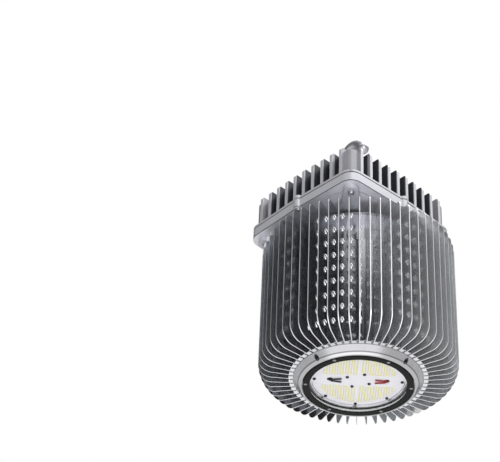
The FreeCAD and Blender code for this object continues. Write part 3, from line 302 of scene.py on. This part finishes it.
# Inside the box and on its roof: drawn cases with a satin sheen, moulded plastics with a matt grain
caseMetal = grainedFinish("drawnAluminiumCase", "#c2c4c8", "#a9abb0", 3, 0.38, 1.0)
nylon = grainedFinish("blackNylon", "#1e1e20", "#29292b", 1, 0.5)
terminal = grainedFinish("whitePolyamide", "#ece9e0", "#dedbd0", 1.5, 0.4)
print("materials made:", len(bpy.data.materials))

finishes = {
    "cooling_fins": finSheet, "core_tube": finSheet, "lead_conduits": finSheet,
    "base_plate": turned, "core_cap": turned,
    "housing_body": ribs, "housing_base": rimCoat, "mounting_bracket": bracketCoat,
    "lens_bezel": anodised, "lens_glass": glass, "lens_gasket": seal, "housing_gasket": seal,
    "gland_plug": seal, "led_board": boardMask, "led_rows": phosphor,
    "black_leads": blackWire, "red_leads": redWire,
    "bezel_screws": screwSteel, "board_screws": darkScrew, "base_screws": darkScrew,
    "corner_screws": screwSteel, "side_screws": screwSteel, "bracket_screws": screwSteel,
    "driver_left": caseMetal, "driver_right": caseMetal, "terminal_block": terminal,
    "gland_body": nylon, "gland_cap": nylon, "gland_locknut": nylon,
    "hook_body": hookSteel, "hook_washer": screwSteel, "hook_nuts": screwSteel,
    "gate_pin": screwSteel, "hook_gate": gateSteel,
}
for name, material in finishes.items():
    mesh = nodes[name].data
    mesh.materials.clear()
    mesh.materials.append(material)
print("nodes dressed:", len(finishes))


# Lowest and highest corner in millimetres of each separate solid of a node, in a turned frame
def solidBoxes(name, turn):
    work = bmesh.new()
    work.from_mesh(nodes[name].data)
    bmesh.ops.remove_doubles(work, verts=work.verts, dist=0.001 * mm)
    left = dict.fromkeys(work.verts)
    boxes = []
    while left:
        start = next(iter(left))
        del left[start]
        found, queue = [start], [start]
        while queue:
            for edge in queue.pop().link_edges:
                for vert in edge.verts:
                    if vert in left:
                        del left[vert]
                        found.append(vert)
                        queue.append(vert)
        corners = [turn @ vert.co for vert in found]
        boxes.append([Vector([pick(c[i] for c in corners) / mm for i in range(3)])
                      for pick in (min, max)])
    work.free()
    return boxes


# Closed body through outlines in millimetres, placed by a turn; gives the faces of each band,
# and the closing face with the last band
def addPrism(work, rings, turn):
    lines = [[work.verts.new(turn @ (point * mm)) for point in ring] for ring in rings]
    count = len(rings[0])
    bands = []
    for a, b in zip(lines, lines[1:]):
        bands.append([])
        for i in range(count):
            j = (i + 1) % count
            bands[-1].append(work.faces.new((a[i], a[j], b[j], b[i])))
    work.faces.new(lines[0][::-1])
    bands[-1].append(work.faces.new(lines[-1]))
    return bands


def smoothMesh(mesh, degrees):
    mesh.polygons.foreach_set("use_smooth", [True] * len(mesh.polygons))
    mesh.set_sharp_from_angle(angle=math.radians(degrees))


def finishPiece(work, name, materials):
    mesh = bpy.data.meshes.new(name)
    bmesh.ops.recalc_face_normals(work, faces=work.faces)
    work.to_mesh(mesh)
    work.free()
    for material in materials:
        mesh.materials.append(material)
    piece = bpy.data.objects.new(name, mesh)
    scene.collection.objects.link(piece)
    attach(piece, "lamp")
    return piece


# Camera: fitted to the ring of fins, the bezel and the driver box in the photograph
cameraView = {
    "azimuth": 44, "distance": 2.10, "below": 1.3175, "pitch": 35.6,
    "focalPixels": 1660, "aimPixel": (358, 285), "imageSize": (500, 462), "sensor": 36.0,
}


def makeCamera(v):
    width, height = v["imageSize"]
    turn = math.radians(v["azimuth"])
    pitch = math.radians(v["pitch"])
    away = Vector((-math.sin(turn), math.cos(turn), 0))
    right = Vector((math.cos(turn), math.sin(turn), 0))
    forward = away * math.cos(pitch) + Vector((0, 0, math.sin(pitch)))
    up = right.cross(forward)
    stand = Matrix((right, up, -forward)).transposed()
    yaw = math.atan((v["aimPixel"][0] - width / 2) / v["focalPixels"])
    tilt = math.atan((v["aimPixel"][1] - height / 2) / v["focalPixels"])
    stand = stand @ Matrix.Rotation(yaw, 3, "Y") @ Matrix.Rotation(tilt, 3, "X")
    data = bpy.data.cameras.new("photoCamera")
    data.sensor_width = v["sensor"]
    data.lens = v["focalPixels"] / width * v["sensor"]
    data.clip_start, data.clip_end = 0.05, 100
    camera = bpy.data.objects.new("photoCamera", data)
    scene.collection.objects.link(camera)
    place = away * -v["distance"] - Vector((0, 0, v["below"]))
    camera.matrix_world = Matrix.Translation(place) @ stand.to_4x4()
    scene.camera = camera
    return right, away


viewRight, viewAway = makeCamera(cameraView)
print("camera set")

# Studio: a white surround, a soft key at front right, a large fill below the camera and a lamp
# overhead. Felt flags that only reflections see give the bright metal its dark areas: a tall one
# round the left side, a low one in front and to the right, and a grey one behind
studio = {
    "floorLevel": -2.6, "floorSize": 40, "surround": 0.62, "aimHeight": 0.18,
    "lamps": {
        "key": {"right": 0.7, "away": -2.4, "height": 0.3, "size": 0.9, "power": 34},
        "fill": {"right": -0.3, "away": -1.7, "height": -1.5, "size": 3.6, "power": 39},
        "roof": {"right": 0.6, "away": 0.4, "height": 3.4, "size": 3.0, "power": 105},
    },
    "flags": {
        "tall": {"from": -150, "to": -1, "radius": 3.0, "low": 0.35, "high": 4.6, "felt": "black"},
        "front": {"from": -1, "to": 100, "radius": 1.6, "low": 0.35, "high": 1.24, "felt": "black"},
        "rear": {"from": 112, "to": 210, "radius": 3.0, "low": 0.35, "high": 3.4, "felt": "grey"},
    },
    "flagSteps": 24,
}


# White where it is seen or mirrored, weaker where it lights the lamp
def makeWorld(surround):
    world = bpy.data.worlds.new("studioWorld")
    scene.world = world
    world.use_nodes = True
    tree = world.node_tree
    path = addNode(tree, "LightPath", {})
    shown = path["Is Camera Ray"]
    for ray in ("Is Glossy Ray", "Is Transmission Ray"):
        shown = addNode(tree, "Math", {0: shown, 1: path[ray]}, operation="ADD", use_clamp=True)[0]
    strength = addNode(tree, "MapRange", {"Value": shown, "To Min": surround, "To Max": 1.0})[0]
    setInputs(tree, tree.nodes["Background"], {"Color": (1, 1, 1, 1), "Strength": strength})


# Pale paper: matt where it is seen, plain white in the metal's reflections
def paperFloor():
    material = grainedFinish("palePaperFloor", "#f4f4f4", "#eeeeee", 40, 0.9)
    tree = material.node_tree
    path = addNode(tree, "LightPath", {})
    mirrored = addNode(tree, "Math", {0: path["Is Glossy Ray"], 1: path["Is Transmission Ray"]},
                       operation="ADD", use_clamp=True)[0]
    paper = tree.nodes["Principled BSDF"].outputs[0]
    glow = addNode(tree, "Emission", {"Color": (1, 1, 1, 1), "Strength": 1.0})[0]
    mix = addNode(tree, "MixShader", {0: mirrored, 1: paper, 2: glow})[0]
    setInputs(tree, tree.nodes["Material Output"], {"Surface": mix})
    return material


def makeStage(work, name, material):
    mesh = bpy.data.meshes.new(name)
    work.to_mesh(mesh)
    work.free()
    mesh.materials.append(material)
    item = bpy.data.objects.new(name, mesh)
    scene.collection.objects.link(item)
    return item


def makeStudio(v):
    makeWorld(v["surround"])
    for name, part in v["lamps"].items():
        lamp = bpy.data.lights.new(name + "Light", "AREA")
        lamp.size = part["size"]
        lamp.energy = part["power"]
        item = bpy.data.objects.new(name + "Light", lamp)
        scene.collection.objects.link(item)
        item.location = viewRight * part["right"] + viewAway * part["away"]
        item.location.z = part["height"]
        toward = Vector((0, 0, v["aimHeight"])) - item.location
        item.rotation_euler = toward.to_track_quat("-Z", "Y").to_euler()

    work = bmesh.new()
    bmesh.ops.create_grid(work, x_segments=8, y_segments=8, size=v["floorSize"] / 2)
    makeStage(work, "studioFloor", paperFloor()).location.z = v["floorLevel"]

    # Felt: woolly, dull all over
    felts = {"black": grainedFinish("blackFelt", "#0c0c0d", "#121214", 2, 0.95),
             "grey": grainedFinish("greyFelt", "#6c6f74", "#64676c", 2, 0.95)}
    for name, part in v["flags"].items():
        work = bmesh.new()
        columns = []
        for i in range(v["flagSteps"] + 1):
            turn = math.radians(part["from"] + (part["to"] - part["from"]) * i / v["flagSteps"])
            out = (viewRight * math.sin(turn) - viewAway * math.cos(turn)) * part["radius"]
            columns.append([work.verts.new(out + Vector((0, 0, part[end])))
                            for end in ("low", "high")])
        for a, b in zip(columns, columns[1:]):
            work.faces.new((a[0], b[0], b[1], a[1]))
        flag = makeStage(work, name + "Flag", felts[part["felt"]])
        flag.visible_camera = False
        flag.visible_diffuse = False
        flag.visible_shadow = False


makeStudio(studio)
scene.view_settings.view_transform = "Standard"
print("studio set")

# Lanced tabs: a column of burst slits on each fin, their lips pushed out round a mouth of painted shade,
# and the slit that each one leaves on the other face of the sheet, drawn as a thin plate of painted
# shade
tabs = {
    "count": 60, "radius": 126, "low": 36.5, "pitch": 23.6, "rows": 9, "lean": 0.3, "blade": 0.65,
    "rings": [  # half length, half width, and height off the sheet inside, below, outside, above
        {"long": 4.6, "wide": 2.6, "heights": (-0.05, -0.05, -0.05, -0.05)},
        {"long": 3.7, "wide": 2.2, "heights": (3.2, 1.5, 0.7, 2.0)},
        {"long": 3.2, "wide": 1.8, "heights": (1.9, 0.8, 0.45, 1.2)},
        {"long": 2.7, "wide": 1.3, "heights": (0.2, 0.2, 0.2, 0.2)},
    ],
    "slit": {"long": 2.7, "wide": 0.95, "proud": 0.05, "sunk": 0.02},
}
oblong = ((-1, -1), (1, -1), (1, 1), (-1, 1))  # corners of a slit, and of a chip
diamond = ((-1, 0), (0, -1), (1, 0), (0, 1))  # corners of a burst


def makeTabs(v):
    bursts, slitShadePlates = bmesh.new(), bmesh.new()
    slit, blade = v["slit"], v["blade"]
    for fin in range(v["count"]):
        turn = Matrix.Rotation(2 * math.pi * (fin + 0.5) / v["count"], 4, "Z")
        for row in range(v["rows"]):
            middle = Vector((v["radius"], 0, v["low"] + v["pitch"] * row))
            rings = [[middle + Vector((x * ring["wide"] + z * ring["long"] * v["lean"],
                                       blade + height, z * ring["long"]))
                      for (x, z), height in zip(diamond, ring["heights"])] for ring in v["rings"]]
            # the mouth faces take the painted shade
            for face in addPrism(bursts, rings, turn)[-1]:
                face.material_index = 1
            rings = [[middle + Vector((x * slit["wide"] + z * slit["long"] * v["lean"], y,
                                       z * slit["long"])) for x, z in oblong]
                     for y in (slit["sunk"] - blade, -blade - slit["proud"])]
            addPrism(slitShadePlates, rings, turn)
    finishPiece(bursts, "finTabs", [tabSheet, slitShade])
    finishPiece(slitShadePlates, "finSlitShadePlates", [slitShade])


makeTabs(tabs)
print("fin tabs made")

# Light chips: each bar of emitters becomes a line of white packages with a yellow window
chips = {
    "turn": 48, "length": 2.9, "pitch": 3.3, "margin": 0.12, "window": 0.14, "slope": 0.12,
    "rim": 0.08,
}


def makeChips(v):
    work = bmesh.new()
    back = Matrix.Rotation(math.radians(v["turn"]), 4, "Z")
    for low, high in solidBoxes("led_rows", back.inverted()):
        count = int((high.y - low.y + v["pitch"] - v["length"]) / v["pitch"])
        first = (low.y + high.y - (count - 1) * v["pitch"]) / 2
        halfWide = (high.x - low.x) / 2
        halfLong = v["length"] / 2
        steps = ((0, high.z), (0, low.z + v["rim"]), (v["margin"], low.z + v["rim"]),
                 (v["window"], low.z + v["slope"]), (v["window"] + v["slope"], low.z))
        for i in range(count):
            middle = Vector((low.x + halfWide, first + i * v["pitch"], 0))
            rings = [[middle + Vector((x * (halfWide - inset), y * (halfLong - inset), z))
                      for x, y in oblong] for inset, z in steps]
            for face in addPrism(work, rings, back)[-1]:
                face.material_index = 1
    piece = finishPiece(work, "ledChips", [chipBody, phosphor])
    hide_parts("led_rows")


makeChips(chips)
print("light chips made")

# Screws with a rounded head and a hexagon socket, one piece for each group of the frame
screwHead = {
    "segments": 24, "socket": 0.5, "chamfer": 0.12, "smooth": 35,
    "profile": ((0.62, 0), (0.8, 0), (0.93, 0.1), (1.0, 0.32), (1.0, 1.0)),  # shares of radius, height
}
screws = {
    "bezel_screws": {"head": 2.0, "shank": 0.52, "depth": 1.1, "steel": screwSteel},
    "base_screws": {"head": 3.0, "shank": 0.52, "depth": 1.6, "steel": darkScrew},
    "board_screws": {"head": 1.6, "shank": 0.5, "depth": 0.9, "steel": darkScrew},
    "corner_screws": {"head": 4.0, "shank": 0.5, "depth": 2.2, "steel": screwSteel},
    "side_screws": {"head": 3.0, "shank": 0.5, "depth": 1.7, "steel": screwSteel},
}


def makeScrews(name, v, top):
    work = bmesh.new()
    still = Matrix.Identity(4)
    segments = top["segments"]
    angles = [2 * math.pi * i / segments for i in range(segments)]
    flat = math.radians(30)  # from a corner of the hexagon to the middle of its side
    hexagon = [top["socket"] * math.cos(flat) / math.cos(flat - a % (2 * flat)) for a in angles]
    for low, high in solidBoxes(name, still):
        radius = (high.x - low.x) / 2
        middle = Vector(((low.x + high.x) / 2, (low.y + high.y) / 2, low.z))
        levels = [(hexagon, v["depth"]), (hexagon, top["chamfer"])]
        for share, height in top["profile"]:
            levels.append(([share] * segments, height * v["head"]))
        for height in (v["head"], high.z - low.z):
            levels.append(([v["shank"]] * segments, height))
        rings = [[middle + Vector((share * radius * math.cos(a), share * radius * math.sin(a), height))
                  for share, a in zip(shares, angles)] for shares, height in levels]
        addPrism(work, rings, still)
    first, second = name.split("_")
    piece = finishPiece(work, first + second.title(), [v["steel"]])
    smoothMesh(piece.data, top["smooth"])
    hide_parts(name)


for name, part in screws.items():
    makeScrews(name, part, screwHead)
print("screws made:", len(screws))

# Curved and rounded nodes are shaded smooth
roundNodes = {
    "angle": 32,
    "names": ("hook_body", "hook_gate", "gate_pin", "lens_bezel", "base_plate", "lens_glass",
              "core_tube", "core_cap", "gland_cap", "gland_body", "red_leads", "black_leads",
              "hook_washer", "lead_conduits", "housing_base", "housing_body", "mounting_bracket"),
}
for name in roundNodes["names"]:
    smoothMesh(nodes[name].data, roundNodes["angle"])
print("nodes smoothed:", len(roundNodes["names"]))

# Cast and milled edges are broken a little, so that they catch the light
edgeBreak = {
    "widths": {"housing_base": 0.7, "housing_body": 0.5, "hook_nuts": 0.6},
    "segments": 2, "sharperThan": 40,
}
for name, width in edgeBreak["widths"].items():
    weld = nodes[name].modifiers.new("weld", "WELD")
    weld.merge_threshold = 0.001 * mm
    bevel = nodes[name].modifiers.new("edgeBreak", "BEVEL")
    bevel.width = width * mm
    bevel.segments = edgeBreak["segments"]
    bevel.limit_method = "ANGLE"
    bevel.angle_limit = math.radians(edgeBreak["sharperThan"])
    shading = nodes[name].modifiers.new("flatFaces", "WEIGHTED_NORMAL")
    shading.weight = 100  # large faces alone set the normals
print("edges broken:", len(edgeBreak["widths"]))
